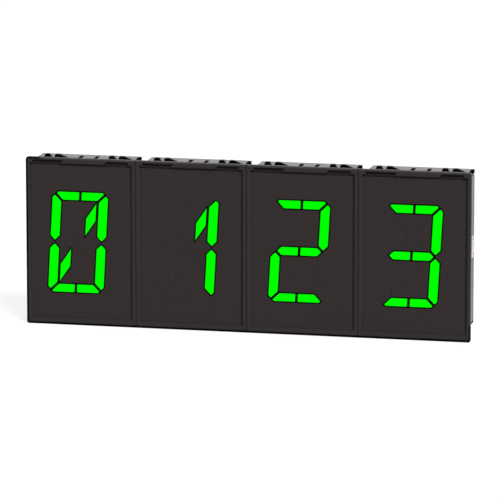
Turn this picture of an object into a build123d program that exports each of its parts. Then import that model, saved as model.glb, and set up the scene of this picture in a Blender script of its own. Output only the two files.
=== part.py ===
from build123d import *
import math
import os

# A panel display of four joined modules. Each module shows one character with
# sixteen light bars. Millimetres. X runs to the right as seen from the front,
# the front faces towards minus Y, and Z is up. The origin lies on the plane
# that seats on the panel, at mid height, on the middle seam.

# Whole display
MODULES = 4
PITCH = 64.0
SEAM_GAP = 0.1
FRAME_HEIGHT = 96.0
BODY_DEPTH = 25.3
FIT = 0.15

# Front frame
FLANGE_THICK = 3.5
CORNER_RADIUS = 1.2
EDGE_BEVEL = 0.7
SIDE_RAIL = 2.7
TOP_RAIL = 3.7
BOTTOM_RAIL = 4.2
LIP_BEVEL = 0.9
SKIRT_DEPTH = 8.0
SKIRT_WALL = 1.4
CASE_GROOVE = 0.6
PRY_INNER = 12.7
PRY_OUTER = 27.8
PRY_TOP = 1.1
PRY_DEPTH = 1.0
SNAP_INSET = 20.0
SNAP_WIDTH = 5.0
SNAP_LENGTH = 2.4
SNAP_REACH = 1.2
SNAP_Y = 4.0

# Face plate with the sixteen windows
PLATE_GAP = 0.3
PLATE_RECESS = 1.0
PLATE_THICK = 1.2
WINDOW_CLEARANCE = 0.05

# Character
DIGIT_HEIGHT = 58.0
DIGIT_WIDTH = 32.6
DIGIT_X = -1.7
DIGIT_Z = -0.2
SLANT_DEGREES = 3.2
UPRIGHT_STROKE = 5.4
LEVEL_STROKE = 4.8
POST_STROKE = 5.2
BAR_GAP = 1.25
CORNER_CUT = 3.3
SLASH_SIDE = 10.2
DARK_RIM = 0.3
TIP_LIMIT = 1.5
BAR_SEAT = 1.0

# Reflector
CELL_FLOOR_SCALE = 0.8
CLIP_WIDTH = 7.0
CLIP_THICK = 1.3
CLIP_HOOK = 0.7
CLIP_NOSE = 1.5

# Boards
BOARD_THICK = 1.6
BOARD_SPACE = 5.0
BOARD_MARGIN = 0.4
CHIP_WIDTH = 1.25
CHIP_HEIGHT = 2.0
CHIP_THICK = 0.7
CHIPS_PER_BAR = 2
CHIP_SPREAD = 0.5
HEADER_WIDTH = 22.0
HEADER_HEIGHT = 5.0
HEADER_RISE = 7.9
DRIVER_WIDTH = 7.5
DRIVER_HEIGHT = 12.8
DRIVER_THICK = 2.3
DRIVER_X = 9.0
DRIVER_DROP = 27.3
CAPACITOR_WIDTH = 7.3
CAPACITOR_HEIGHT = 4.3
CAPACITOR_THICK = 2.8
CAPACITOR_DROP = 14.3

# Rear case
CASE_SIDE_INSET = 3.0
CASE_TOP_INSET = 4.65
CASE_BOTTOM_INSET = 5.1
CASE_WALL = 1.6
CASE_CORNER_CUT = 1.0
COVER_DEPTH = 4.3
COVER_BACK = 1.8
COVER_DROP = 0.1
HOOK_X = 16.0
HOOK_WIDTH = 8.0
HOOK_THICK = 1.2
HOOK_DEPTH = 4.0
HOOK_BARB = 1.8
HOOK_REACH = 0.9
RAIL_HEIGHT = 1.85
RAIL_OVERHANG = 0.1
RAIL_START = 2.6
RAIL_STOP_WIDTH = 1.7
RAIL_STOP_LENGTH = 2.0
TOOTH_PAIR_X = 18.8
TOOTH_FROM_BACK = 12.1
TOOTH_LENGTH = 2.4
TOOTH_HEIGHT = 2.3
SHORT_TOOTH = 4.7
LONG_TOOTH = 7.3
TOOTH_SPACE = 1.2
TOP_SLOT_X = 4.6
TOP_SLOT_WIDTH = 1.6
TOP_SLOT_LENGTH = 6.0
TOP_SLOT_FROM_BACK = 10.5
PAD_WIDTH = 17.0
PAD_HEIGHT = 1.5
POST_SIZE = 4.5
VENT_COUNT = 4
VENT_WIDTH = 26.0
VENT_HEIGHT = 1.6
VENT_STEP = 3.6
VENT_DROP = 9.35

# Side sockets and the links that join the modules
SOCKET_HEIGHT = 12.3
SOCKET_DEPTH = 7.6
SOCKET_LENGTH = 7.5
SOCKET_PLAY = 0.2
SOCKET_Z = 2.0
MOUTH_HEIGHT = 10.3
MOUTH_WIDTH = 3.6
MOUTH_DEPTH = 5.5
TONGUE_HEIGHT = 8.6
TONGUE_THICK = 1.0
TONGUE_REACH = 4.5
SOCKET_KEY_HEIGHT = 7.0
SOCKET_KEY_THICK = 0.5
SOCKET_KEY_DEPTH = 1.6
PLUG_REACH = 4.0
PLUG_CLEARANCE = 0.2

# Screw terminals on the first module
POLES = 6
POLE_PITCH = 7.0
BARRIER_THICK = 1.4
TERMINAL_HEIGHT = 13.0
TERMINAL_PROUD = 1.0
BARRIER_PROUD = 4.4
TERMINAL_RISE = 20.9
CLAMP_WIDTH = 5.0
CLAMP_HEIGHT = 9.0
CLAMP_THICK = 0.8
CLAMP_SCREW_RADIUS = 1.9
CLAMP_SCREW_HEIGHT = 1.4

# Lit bars of the four plain numbers on show
SHOWN = [
    "top_left top_right upper_right lower_right bottom_right bottom_left"
    " lower_left upper_left slash_upper_right slash_lower_left",
    "upper_right lower_right slash_upper_right",
    "top_left top_right upper_right middle_left middle_right lower_left"
    " bottom_left bottom_right",
    "top_left top_right upper_right middle_left middle_right lower_right"
    " bottom_left bottom_right",
]

# Planes and places that follow from the sizes above
FRAME_FRONT = -FLANGE_THICK
PLATE_FRONT = FRAME_FRONT + PLATE_RECESS
PLATE_BACK = PLATE_FRONT + PLATE_THICK
BAR_BACK = PLATE_BACK + BAR_SEAT
COVER_FRONT = BODY_DEPTH - COVER_DEPTH
COVER_INSIDE = BODY_DEPTH - COVER_BACK
SOCKET_BACK = COVER_INSIDE - SOCKET_PLAY
CONTROL_BACK = SOCKET_BACK - SOCKET_DEPTH
CONTROL_FRONT = CONTROL_BACK - BOARD_THICK
LED_BOARD_BACK = CONTROL_FRONT - BOARD_SPACE
REFLECTOR_BACK = LED_BOARD_BACK - BOARD_THICK
TOOTH_Y = BODY_DEPTH - TOOTH_FROM_BACK
TOP_SLOT_Y = BODY_DEPTH - TOP_SLOT_FROM_BACK

HALF_HEIGHT = FRAME_HEIGHT / 2
HALF_FRAME = (PITCH - SEAM_GAP) / 2
HALF_CASE = PITCH / 2 - CASE_SIDE_INSET
CASE_TOP = HALF_HEIGHT - CASE_TOP_INSET
CASE_BOTTOM = CASE_BOTTOM_INSET - HALF_HEIGHT
SNAP_Z = HALF_HEIGHT - SNAP_INSET
TERMINAL_Z = CASE_BOTTOM + TERMINAL_RISE


def rectangle(half_width, bottom, top, radius=0.0):
    """Flat rectangle, symmetric in X, with round corners where a radius is given."""
    width = 2 * half_width
    height = top - bottom
    shape = RectangleRounded(width, height, radius) if radius else Rectangle(width, height)
    return Pos(0, (bottom + top) / 2) * shape


def cut_rectangle(half_width, bottom, top, cut):
    """Flat rectangle, symmetric in X, with its four corners cut off."""
    shape = rectangle(half_width, bottom, top)
    return chamfer(shape.vertices(), cut)


def slab(flat, front, back):
    """Solid of a flat drawn in X and Z, from the plane y = front to y = back."""
    plane = Plane(origin=(0, back, 0), x_dir=(1, 0, 0), z_dir=(0, -1, 0))
    return extrude(plane * flat, amount=back - front)


def block(x, z, width, height, front, back):
    """Box centred at x and z, from the plane y = front to y = back."""
    middle = (front + back) / 2
    return Pos(x, middle, z) * Box(width, back - front, height)


def rod(x, z, radius, front, back):
    """Round rod along Y."""
    return slab(Pos(x, z) * Circle(radius), front, back)


def outline(points):
    """Flat face inside a closed run of points."""
    return make_face(Polyline(*points, close=True))


def side_profile(points, x, width):
    """Solid of an outline drawn in Y and Z, with its width centred on x."""
    return extrude(Plane.YZ.offset(x - width / 2) * outline(points), amount=width)


def grown(limits, amount):
    """Half width, bottom and top of a rectangle, all moved outwards."""
    half_width, bottom, top = limits
    return half_width + amount, bottom - amount, top + amount


# Rectangles that nest inside one another, each from its neighbour
OPENING = (
    HALF_FRAME - SIDE_RAIL,
    BOTTOM_RAIL - HALF_HEIGHT,
    HALF_HEIGHT - TOP_RAIL,
)
PLATE = grown(OPENING, -PLATE_GAP)
CASE_OUTER = (HALF_CASE, CASE_BOTTOM, CASE_TOP)
CASE_INNER = grown(CASE_OUTER, -CASE_WALL)
SKIRT_OUTER = grown(CASE_INNER, -FIT)
SKIRT_INNER = grown(SKIRT_OUTER, -SKIRT_WALL)
REFLECTOR = grown(SKIRT_INNER, -FIT)
CONTROL_BOARD = grown(CASE_INNER, -BOARD_MARGIN)


def clipped(points, a, b, limit):
    """Part of a convex outline where a * x + b * z is at most the limit."""
    kept = []
    for (x0, z0), (x1, z1) in zip(points, points[1:] + points[:1]):
        over0 = a * x0 + b * z0 - limit
        over1 = a * x1 + b * z1 - limit
        if over0 <= 0:
            kept.append((x0, z0))
        if over0 * over1 < 0:
            share = over0 / (over0 - over1)
            kept.append((x0 + share * (x1 - x0), z0 + share * (z1 - z0)))
    return kept


def box_points(left, right, bottom, top):
    return [(left, bottom), (right, bottom), (right, top), (left, top)]


def quadrant_bars():
    """Upright outlines of the light of the bars in the upper right quarter."""
    half_w = DIGIT_WIDTH / 2
    half_h = DIGIT_HEIGHT / 2
    half_gap = BAR_GAP / 2
    slope_gap = half_gap * math.sqrt(2)
    inner_x = half_w - UPRIGHT_STROKE
    inner_z = half_h - LEVEL_STROKE
    mitre = inner_x - inner_z
    corner = half_w + half_h - CORNER_CUT
    joint_x = half_w - UPRIGHT_STROKE / 2

    top = clipped(box_points(half_gap, half_w, inner_z, half_h), 1, 1, corner)
    top = clipped(top, 1, -1, mitre - slope_gap)

    upright = clipped(box_points(inner_x, half_w, 0, half_h), 1, 1, corner)
    upright = clipped(upright, -1, 1, -mitre - slope_gap)
    upright = clipped(upright, -1, -1, -joint_x - slope_gap)
    upright = clipped(upright, 1, -1, joint_x - slope_gap)

    half_level = LEVEL_STROKE / 2
    middle = box_points(half_gap, half_w, -half_level, half_level)
    middle = clipped(middle, 1, 1, joint_x - slope_gap)
    middle = clipped(middle, 1, -1, joint_x - slope_gap)

    half_post = POST_STROKE / 2
    low = half_level + BAR_GAP
    high = inner_z - BAR_GAP
    post = box_points(-half_post, half_post, low, high)

    left = half_post + BAR_GAP
    right = inner_x - BAR_GAP
    slash = [
        (left, low),
        (right, high - SLASH_SIDE),
        (right, high),
        (left, low + SLASH_SIDE),
    ]
    return top, upright, middle, post, slash


def flipped(points, x_sign, z_sign):
    """Mirror image of an outline, still running the same way round."""
    mirrored = [(x_sign * x, z_sign * z) for x, z in points]
    return mirrored if x_sign * z_sign > 0 else mirrored[::-1]


def slanted(points):
    """Outline leant over to the right and moved to the character's place."""
    lean = math.tan(math.radians(SLANT_DEGREES))
    return [(x + lean * z + DIGIT_X, z + DIGIT_Z) for x, z in points]


def bar_outlines():
    """Outlines of the light of all sixteen bars, by name."""
    top, upright, middle, post, slash = quadrant_bars()
    bars = {
        "middle_right": middle,
        "middle_left": flipped(middle, -1, 1),
        "post_upper": post,
        "post_lower": flipped(post, 1, -1),
    }
    for side, x_sign in (("right", 1), ("left", -1)):
        bars[f"top_{side}"] = flipped(top, x_sign, 1)
        bars[f"bottom_{side}"] = flipped(top, x_sign, -1)
        for level, z_sign in (("upper", 1), ("lower", -1)):
            bars[f"{level}_{side}"] = flipped(upright, x_sign, z_sign)
            bars[f"slash_{level}_{side}"] = flipped(slash, x_sign, z_sign)
    return {name: slanted(points) for name, points in bars.items()}


def offset_outline(points, amount):
    """Convex outline with every edge moved outwards and its sharp tips cut short."""
    lines = []
    for (x0, z0), (x1, z1) in zip(points, points[1:] + points[:1]):
        length = math.hypot(x1 - x0, z1 - z0)
        a = (z1 - z0) / length
        b = (x0 - x1) / length
        lines.append((a, b, a * x0 + b * z0 + amount))
    moved = []
    for (a0, b0, c0), (a1, b1, c1) in zip(lines[-1:] + lines[:-1], lines):
        cross = a0 * b1 - a1 * b0
        moved.append(((c0 * b1 - c1 * b0) / cross, (a0 * c1 - a1 * c0) / cross))
    tip = TIP_LIMIT * amount
    moved = clipped(moved, 0, 1, max(z for x, z in points) + tip)
    return clipped(moved, 0, -1, tip - min(z for x, z in points))


def middle_of(points):
    """Mean of an outline's corners."""
    return sum(x for x, z in points) / len(points), sum(z for x, z in points) / len(points)


def scaled_outline(points, scale):
    """Outline shrunk towards its own middle."""
    middle_x, middle_z = middle_of(points)
    return [(middle_x + scale * (x - middle_x), middle_z + scale * (z - middle_z)) for x, z in points]


def farthest_reach(points):
    """Vector from an outline's middle to its farthest corner."""
    middle_x, middle_z = middle_of(points)
    arms = [(x - middle_x, z - middle_z) for x, z in points]
    return max(arms, key=lambda arm: math.hypot(*arm))


def pry_notch(side):
    """Shallow pocket in the top rail, open to the plate, with one leaning end."""
    top = HALF_HEIGHT - PRY_TOP
    bottom = OPENING[2] - PLATE_GAP
    flat = outline(
        [
            (side * PRY_INNER, bottom),
            (side * PRY_OUTER, bottom),
            (side * PRY_OUTER, top),
            (side * PRY_INNER + top - bottom, top),
        ]
    )
    return slab(flat, FRAME_FRONT, FRAME_FRONT + PRY_DEPTH)


def snap_tab(side, z):
    """Wedge on the skirt that clicks into a window of the case."""
    root = SKIRT_OUTER[0]
    tip = root + SNAP_REACH
    ramp = [
        (root - FIT, SNAP_Y),
        (tip, SNAP_Y),
        (root, SNAP_Y + SNAP_LENGTH),
        (root - FIT, SNAP_Y + SNAP_LENGTH),
    ]
    profile = outline([(side * x, y) for x, y in ramp])
    return Pos(0, 0, z - SNAP_WIDTH / 2) * extrude(profile, amount=SNAP_WIDTH, dir=(0, 0, 1))


def front_frame():
    """Bezel with rails, face plate pocket, skirt and snap tabs, in one moulding."""
    outer = rectangle(HALF_FRAME, -HALF_HEIGHT, HALF_HEIGHT, CORNER_RADIUS)
    flange = slab(outer, FRAME_FRONT, 0)
    front_edges = flange.faces().sort_by(Axis.Y)[0].outer_wire().edges()
    flange = chamfer(front_edges, EDGE_BEVEL)
    flange -= slab(rectangle(*OPENING), FRAME_FRONT, PLATE_BACK)
    opening_edges = flange.faces().sort_by(Axis.Y)[0].inner_wires()[0].edges()
    flange = chamfer(opening_edges, LIP_BEVEL)
    flange -= slab(rectangle(*grown(CASE_OUTER, FIT)), -CASE_GROOVE, 0)
    skirt = slab(rectangle(*SKIRT_OUTER), -CASE_GROOVE, SKIRT_DEPTH)
    tabs = [snap_tab(side, z) for side in (-1, 1) for z in (-SNAP_Z, SNAP_Z)]
    frame = flange + skirt
    frame -= slab(rectangle(*SKIRT_INNER), PLATE_BACK, SKIRT_DEPTH)
    frame += tabs
    return frame - [pry_notch(side) for side in (-1, 1)]


def face_plate(bars):
    """Dark plate in the frame's pocket, with a window for each bar."""
    plate = slab(rectangle(*PLATE), PLATE_FRONT, PLATE_BACK)
    spread = DARK_RIM + WINDOW_CLEARANCE
    windows = [
        slab(outline(offset_outline(points, spread)), PLATE_FRONT, PLATE_BACK)
        for points in bars.values()
    ]
    return plate - windows


def light_bars(bars, names):
    """Light bars flush with the face plate, one solid for each name."""
    return [
        slab(outline(offset_outline(bars[name], DARK_RIM)), PLATE_FRONT, BAR_BACK)
        for name in names
    ]


def board_clip(edge, side):
    """Leg on the reflector's edge that hooks over the back of its board."""
    inner = edge - side * CLIP_THICK
    tip = LED_BOARD_BACK + CLIP_NOSE
    points = [
        (PLATE_BACK, edge),
        (PLATE_BACK, inner),
        (LED_BOARD_BACK, inner),
        (LED_BOARD_BACK, inner - side * (FIT + CLIP_HOOK)),
        (tip, inner),
        (tip, edge),
    ]
    return side_profile(points, 0, CLIP_WIDTH)


def reflector(bars):
    """Block with sixteen tapered light cells, a seat for each bar and two clips."""
    body = slab(rectangle(*REFLECTOR), PLATE_BACK, REFLECTOR_BACK)
    tools = []
    for points in bars.values():
        seat = outline(offset_outline(points, DARK_RIM + WINDOW_CLEARANCE))
        tools.append(slab(seat, PLATE_BACK, BAR_BACK))
        tools.append(light_cell(points))
    clips = [board_clip(REFLECTOR[1], -1), board_clip(REFLECTOR[2], 1)]
    return body + clips - tools


def light_cell(points):
    """Hollow with flat walls that narrows from the light to the lamps behind it."""
    mouth = [(x, BAR_BACK, z) for x, z in points]
    narrow = scaled_outline(points, CELL_FLOOR_SCALE)
    floor = [(x, REFLECTOR_BACK, z) for x, z in narrow]
    ends = [mouth, floor]
    walls = [
        [mouth[here - 1], mouth[here], floor[here], floor[here - 1]]
        for here in range(len(points))
    ]
    faces = [Face(Wire.make_polygon(corners)) for corners in ends + walls]
    return Solid(Shell(faces))


def led_board():
    """Board behind the reflector, with a notch for each of the reflector's clips."""
    board = slab(rectangle(*REFLECTOR), REFLECTOR_BACK, LED_BOARD_BACK)
    size = (CLIP_WIDTH + 2 * FIT, 2 * (CLIP_THICK + FIT), REFLECTOR_BACK, LED_BOARD_BACK)
    return board - [block(0, edge, *size) for edge in REFLECTOR[1:]]


def led_chips(bars):
    """Lamps on the board, spread along the middle of each cell."""
    chips = []
    for points in bars.values():
        middle_x, middle_z = middle_of(points)
        reach_x, reach_z = farthest_reach(points)
        for place in range(CHIPS_PER_BAR):
            share = CHIP_SPREAD * ((2 * place + 1) / CHIPS_PER_BAR - 1)
            x = middle_x + share * reach_x
            z = middle_z + share * reach_z
            size = (CHIP_WIDTH, CHIP_HEIGHT, REFLECTOR_BACK - CHIP_THICK, REFLECTOR_BACK)
            chips.append(block(x, z, *size))
    return chips


def board_header():
    """Pin header that carries the control board's outputs to the lamps."""
    middle_z = CONTROL_BOARD[1] + HEADER_RISE
    body = block(0, middle_z, HEADER_WIDTH, HEADER_HEIGHT, LED_BOARD_BACK, CONTROL_FRONT)
    waist = (LED_BOARD_BACK + CONTROL_FRONT) / 2
    relief = HEADER_HEIGHT / 5
    for side in (-1, 1):
        z = middle_z + side * HEADER_HEIGHT / 2
        body -= block(0, z, HEADER_WIDTH, relief, waist - relief / 2, waist + relief / 2)
    return body


def control_board():
    """Board with the drivers, resting on the case's four corner posts."""
    return slab(rectangle(*CONTROL_BOARD), CONTROL_FRONT, CONTROL_BACK)


def control_parts():
    """Two driver chips and a capacitor on the control board's back."""
    board_top = CONTROL_BOARD[2]
    driver = (DRIVER_WIDTH, DRIVER_HEIGHT, CONTROL_BACK, CONTROL_BACK + DRIVER_THICK)
    parts = [block(side * DRIVER_X, board_top - DRIVER_DROP, *driver) for side in (-1, 1)]
    capacitor_back = CONTROL_BACK + CAPACITOR_THICK
    capacitor = (CAPACITOR_WIDTH, CAPACITOR_HEIGHT, CONTROL_BACK, capacitor_back)
    return parts + [block(0, board_top - CAPACITOR_DROP, *capacitor)]


def corner_posts():
    """Square posts in the case's corners that the control board rests on."""
    half_width, bottom, top = grown(CASE_INNER, -POST_SIZE / 2)
    places = [(x, z) for x in (-half_width, half_width) for z in (bottom, top)]
    return [block(x, z, POST_SIZE, POST_SIZE, CONTROL_BACK, COVER_FRONT) for x, z in places]


def hook_places():
    """Places along the top and bottom walls where the cover hooks into the case."""
    edges = ((CASE_INNER[1], -1), (CASE_INNER[2], 1))
    return [(x, edge, side) for x in (-HOOK_X, HOOK_X) for edge, side in edges]


def cover_hook(x, edge, side):
    """Leg of the cover with a barb that snaps into the case's wall."""
    outer = edge - side * FIT
    inner = outer - side * HOOK_THICK
    front = COVER_FRONT - HOOK_DEPTH
    barb_back = front + HOOK_BARB
    points = [
        (BODY_DEPTH, inner),
        (front, inner),
        (front, outer),
        (barb_back, outer + side * HOOK_REACH),
        (barb_back, outer),
        (BODY_DEPTH, outer),
    ]
    return side_profile(points, x, HOOK_WIDTH)


def hook_recess(x, edge):
    """Blind pocket in the inside of the case's wall for a barb."""
    front = COVER_FRONT - HOOK_DEPTH
    size = (HOOK_WIDTH + 2 * FIT, 2 * HOOK_REACH, front - FIT, front + HOOK_BARB + FIT)
    return block(x, edge, *size)


def tooth(length, flat_from, flat_to, height):
    """Catch seen from the front: steep on the left, a ramp on the right."""
    points = [(0, 0), (length, 0), (flat_to, height), (flat_from, height)]
    return outline(points)


def tooth_pair(x, base):
    """Short and long catch side by side for the mounting bracket to grip."""
    rise = 0.35 * TOOTH_HEIGHT
    short = tooth(SHORT_TOOTH, rise, SHORT_TOOTH / 2, TOOTH_HEIGHT)
    long = tooth(LONG_TOOTH, rise, SHORT_TOOTH / 2, TOOTH_HEIGHT)
    start = x - (SHORT_TOOTH + TOOTH_SPACE + LONG_TOOTH) / 2
    second = start + SHORT_TOOTH + TOOTH_SPACE
    flats = [Pos(start, base) * short, Pos(second, base) * long]
    return [slab(flat, TOOTH_Y, TOOTH_Y + TOOTH_LENGTH) for flat in flats]


def bracket_rail():
    """Raised plate on top, with a stop at its right rear end for the bracket."""
    half_rail = HALF_CASE + RAIL_OVERHANG
    middle_z = CASE_TOP + RAIL_HEIGHT / 2
    rail = block(0, middle_z, 2 * half_rail, RAIL_HEIGHT, RAIL_START, BODY_DEPTH)
    stop_x = half_rail - RAIL_STOP_WIDTH / 2
    stop_front = BODY_DEPTH - RAIL_STOP_LENGTH
    return rail - block(stop_x, middle_z, RAIL_STOP_WIDTH, RAIL_HEIGHT, RAIL_START, stop_front)


def bottom_pad(x):
    """Pad under the case with the same catches, upside down."""
    low = CASE_BOTTOM - PAD_HEIGHT
    middle_z = (CASE_BOTTOM + low) / 2
    pad = block(x, middle_z, PAD_WIDTH, PAD_HEIGHT, TOOTH_Y - TOOTH_LENGTH, COVER_FRONT)
    groove_front = TOOTH_Y + TOOTH_LENGTH
    groove = block(x, low, PAD_WIDTH, PAD_HEIGHT, groove_front, groove_front + TOOTH_LENGTH)
    return pad - groove


def socket_opening(front, back):
    """Opening in both side walls for the sockets."""
    height = SOCKET_HEIGHT + 2 * FIT
    return block(0, SOCKET_Z, 3 * HALF_CASE, height, front, back)


def case_body():
    """Open sleeve with the bracket rail, catches, corner posts and windows."""
    case = slab(cut_rectangle(*CASE_OUTER, CASE_CORNER_CUT), -CASE_GROOVE, COVER_FRONT)
    case -= slab(rectangle(*CASE_INNER), -CASE_GROOVE, COVER_FRONT)
    case += bracket_rail()
    for side in (-1, 1):
        case += tooth_pair(side * TOOTH_PAIR_X, CASE_TOP + RAIL_HEIGHT)
        case += bottom_pad(side * TOOTH_PAIR_X)
    case += corner_posts()
    case -= [hook_recess(x, edge) for x, edge, side in hook_places()]
    slot_z = CASE_TOP + RAIL_HEIGHT
    slot_back = TOP_SLOT_Y + TOP_SLOT_LENGTH
    case -= [
        block(x, slot_z, TOP_SLOT_WIDTH, 2 * RAIL_HEIGHT, TOP_SLOT_Y, slot_back)
        for x in (-TOP_SLOT_X, TOP_SLOT_X)
    ]
    snap_height = SNAP_WIDTH + 2 * FIT
    snap_back = SNAP_Y + SNAP_LENGTH + FIT
    case -= [
        block(0, z, 3 * HALF_CASE, snap_height, SNAP_Y - FIT, snap_back)
        for z in (-SNAP_Z, SNAP_Z)
    ]
    return case - socket_opening(CONTROL_BACK - FIT, COVER_FRONT)


def rear_cover(has_terminals):
    """Shallow back cover with four hooks, air slots and openings for the plugs."""
    half_width, bottom, top = CASE_OUTER
    outer = cut_rectangle(half_width, bottom, top - COVER_DROP, CASE_CORNER_CUT)
    cover = slab(outer, COVER_FRONT, BODY_DEPTH)
    cover -= slab(rectangle(*CASE_INNER), COVER_FRONT, COVER_INSIDE)
    cover += [cover_hook(*place) for place in hook_places()]
    vent_top = CASE_TOP - VENT_DROP
    cover -= [
        block(0, vent_top - row * VENT_STEP, VENT_WIDTH, VENT_HEIGHT, COVER_INSIDE, BODY_DEPTH)
        for row in range(VENT_COUNT)
    ]
    cover -= socket_opening(COVER_FRONT, SOCKET_BACK + FIT)
    if has_terminals:
        width = terminal_width() + 2 * FIT
        height = TERMINAL_HEIGHT + 2 * FIT
        cover -= block(0, TERMINAL_Z, width, height, COVER_INSIDE, BODY_DEPTH)
    return cover


def link_socket(side):
    """Socket in the side wall, with a contact tongue in its mouth."""
    mouth_y = (CONTROL_BACK + SOCKET_BACK) / 2
    middle_x = side * (HALF_CASE - SOCKET_LENGTH / 2)
    body = block(middle_x, SOCKET_Z, SOCKET_LENGTH, SOCKET_HEIGHT, CONTROL_BACK, SOCKET_BACK)
    mouth_x = side * (HALF_CASE - MOUTH_DEPTH / 2)
    half_mouth = MOUTH_WIDTH / 2
    mouth = (MOUTH_DEPTH, MOUTH_HEIGHT, mouth_y - half_mouth, mouth_y + half_mouth)
    body -= block(mouth_x, SOCKET_Z, *mouth)
    tongue_x = side * (HALF_CASE - MOUTH_DEPTH + TONGUE_REACH / 2)
    half_tongue = TONGUE_THICK / 2
    tongue = (TONGUE_REACH, TONGUE_HEIGHT, mouth_y - half_tongue, mouth_y + half_tongue)
    body += block(tongue_x, SOCKET_Z, *tongue)
    return body


def end_key(side):
    """Low ridge on the open end of a socket that keeps a link the right way up."""
    x = side * (HALF_CASE + SOCKET_KEY_THICK / 2)
    key_front = SOCKET_BACK - SOCKET_KEY_DEPTH
    size = (SOCKET_KEY_THICK, SOCKET_KEY_HEIGHT, key_front, SOCKET_BACK)
    return block(x, SOCKET_Z, *size)


def link_sockets():
    """Left and right socket of one module."""
    return [link_socket(side) + end_key(side) for side in (-1, 1)]


def link_bridge():
    """Double plug that fills the space between two cases and enters both sockets."""
    mouth_y = (CONTROL_BACK + SOCKET_BACK) / 2
    half_space = CASE_SIDE_INSET - SOCKET_KEY_THICK - PLUG_CLEARANCE
    bridge = block(0, SOCKET_Z, 2 * half_space, SOCKET_HEIGHT, CONTROL_BACK, SOCKET_BACK)
    half_plug = MOUTH_WIDTH / 2 - PLUG_CLEARANCE
    reach = CASE_SIDE_INSET + PLUG_REACH
    height = MOUTH_HEIGHT - 2 * PLUG_CLEARANCE
    bridge += block(0, SOCKET_Z, 2 * reach, height, mouth_y - half_plug, mouth_y + half_plug)
    half_slit = TONGUE_THICK / 2 + PLUG_CLEARANCE
    slit_height = TONGUE_HEIGHT + 2 * PLUG_CLEARANCE
    slit_length = PLUG_REACH + PLUG_CLEARANCE
    for side in (-1, 1):
        x = side * (reach - slit_length / 2)
        slit = (slit_length, slit_height, mouth_y - half_slit, mouth_y + half_slit)
        bridge -= block(x, SOCKET_Z, *slit)
    return bridge


def terminal_width():
    return POLES * POLE_PITCH + BARRIER_THICK


def pole_places():
    """Middle of each screw terminal across the strip."""
    return [(pole - (POLES - 1) / 2) * POLE_PITCH for pole in range(POLES)]


def terminal_block():
    """Barrier strip that carries power and signals into the first module."""
    floor = BODY_DEPTH + TERMINAL_PROUD
    tip = BODY_DEPTH + BARRIER_PROUD
    strip = block(0, TERMINAL_Z, terminal_width(), TERMINAL_HEIGHT, CONTROL_BACK, floor)
    for edge in range(POLES + 1):
        x = (edge - POLES / 2) * POLE_PITCH
        strip += block(x, TERMINAL_Z, BARRIER_THICK, TERMINAL_HEIGHT, floor, tip)
    return strip


def terminal_screws():
    """Clamp plate and screw of each pole."""
    floor = BODY_DEPTH + TERMINAL_PROUD
    head = floor + CLAMP_THICK
    screws = []
    for x in pole_places():
        clamp = block(x, TERMINAL_Z, CLAMP_WIDTH, CLAMP_HEIGHT, floor, head)
        clamp += rod(x, TERMINAL_Z, CLAMP_SCREW_RADIUS, head, head + CLAMP_SCREW_HEIGHT)
        screws.append(clamp)
    return screws


def solids_of(shape):
    """Plain list of the solids in a shape or in a list of shapes."""
    if isinstance(shape, (list, tuple)):
        return [solid for item in shape for solid in solids_of(item)]
    return list(shape.solids())


def save(name, shape, x=0.0):
    """Write one node, moved to its module's place."""
    solids = [solid.moved(Location((x, 0, 0))) for solid in solids_of(shape)]
    whole = solids[0] if len(solids) == 1 else Compound(children=solids)
    export_step(whole, f"parts/{name}.step")


def main():
    os.makedirs("parts", exist_ok=True)
    bars = bar_outlines()
    pieces = {
        "front_frame": front_frame(),
        "face_plate": face_plate(bars),
        "reflector": reflector(bars),
        "led_board": led_board(),
        "led_chips": led_chips(bars),
        "board_header": board_header(),
        "control_board": control_board(),
        "control_parts": control_parts(),
        "link_sockets": link_sockets(),
        "case_body": case_body(),
    }
    plain_cover = rear_cover(False)
    for number in range(MODULES):
        x = (number - (MODULES - 1) / 2) * PITCH
        label = number + 1
        for name, shape in pieces.items():
            save(f"{name}_{label}", shape, x)
        save(f"rear_cover_{label}", plain_cover if number else rear_cover(True), x)
        lit = SHOWN[number].split()
        unlit = [name for name in bars if name not in lit]
        save(f"lit_bars_{label}", light_bars(bars, lit), x)
        save(f"unlit_bars_{label}", light_bars(bars, unlit), x)
        if number:
            save(f"link_bridge_{label - 1}{label}", link_bridge(), x - PITCH / 2)
    first_x = -(MODULES - 1) / 2 * PITCH
    save("terminal_block", terminal_block(), first_x)
    save("terminal_screws", terminal_screws(), first_x)


main()
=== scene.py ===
# %% [markdown]
# A sixteen-segment LED display
#
# The real thing is a row of four joined panel modules. Each has a slim black frame, a
# dark plate with green light bars, and a shallow case behind it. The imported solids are
# loaded first and stay where they are. Everything below gives them their finish, or
# stands in for one of them with a finer mesh.
# %% Load the fixed frame
import math

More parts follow.
